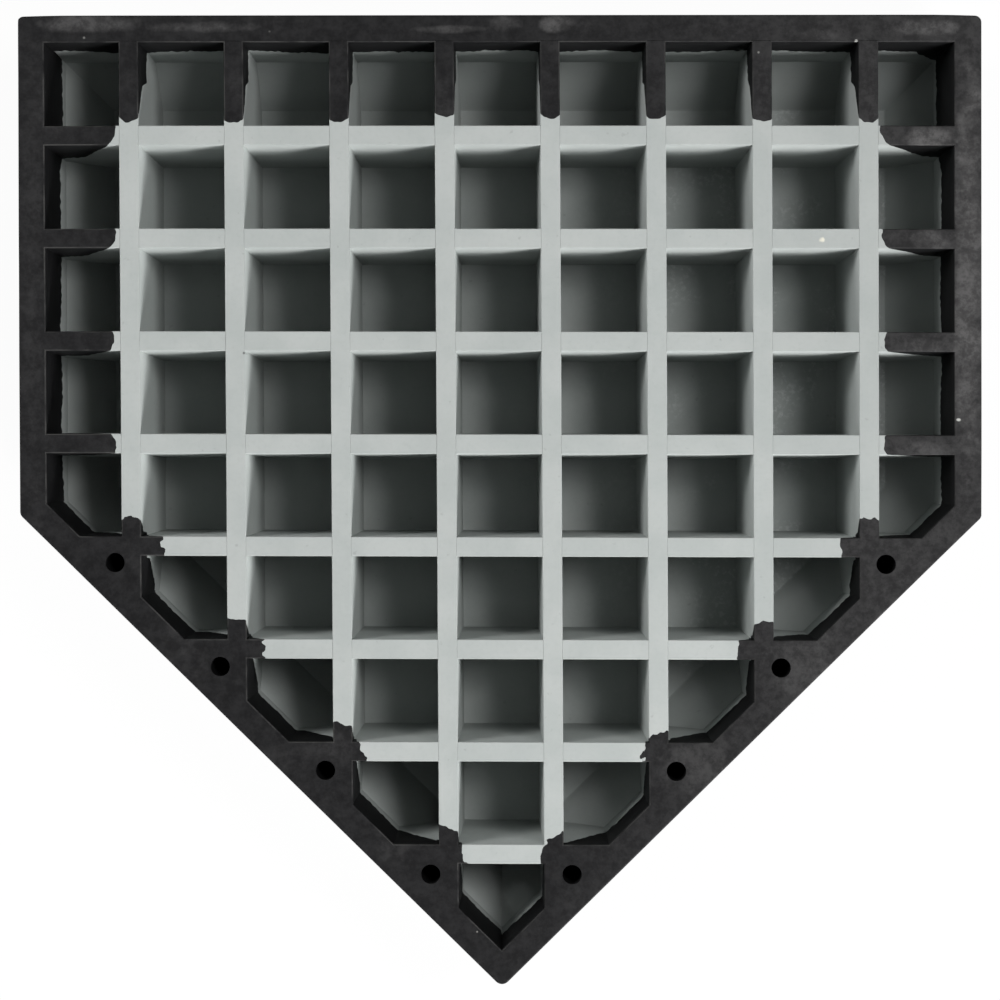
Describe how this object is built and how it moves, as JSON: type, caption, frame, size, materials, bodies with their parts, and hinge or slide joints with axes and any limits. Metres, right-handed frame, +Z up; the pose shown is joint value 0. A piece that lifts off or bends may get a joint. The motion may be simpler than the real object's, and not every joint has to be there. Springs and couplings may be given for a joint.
{
  "type": "baseball home plate",
  "caption": "Five-sided rubber home plate, face down: white playing face, grey waffle of crossed ribs and open pockets behind it, black bevelled border with peg holes.",
  "frame": {"origin": "middle of the plate's box on the plane of the white playing face, which lies on the floor", "axes": "+Z up out of the waffle underside, +Y towards the straight front edge, the point towards -Y, +X to the right as seen from above the waffle"},
  "size_m": [0.47, 0.4736, 0.0762],
  "materials": {
    "white_rubber": "matt moulded white rubber with a fine pebbled grain",
    "grey_rubber": "matt moulded light grey rubber with faint flow marks",
    "black_rubber": "satin black rubber with dusty smudges and ragged bond edges"
  },
  "bodies": {
    "root": {"playing_face": "white_rubber", "core_slab": "grey_rubber", "long_rib_1": "grey_rubber", "long_rib_2": "grey_rubber", "long_rib_3": "grey_rubber", "long_rib_4": "grey_rubber", "long_rib_5": "grey_rubber", "long_rib_6": "grey_rubber", "long_rib_7": "grey_rubber", "long_rib_8": "grey_rubber", "cross_rib_1": "grey_rubber", "cross_rib_2": "grey_rubber", "cross_rib_3": "grey_rubber", "cross_rib_4": "grey_rubber", "cross_rib_5": "grey_rubber", "cross_rib_6": "grey_rubber", "cross_rib_7": "grey_rubber", "cross_rib_8": "grey_rubber", "front_border": "black_rubber", "left_border": "black_rubber", "right_border": "black_rubber", "left_point_border": "black_rubber", "right_point_border": "black_rubber"}
  },
  "joints": []
}
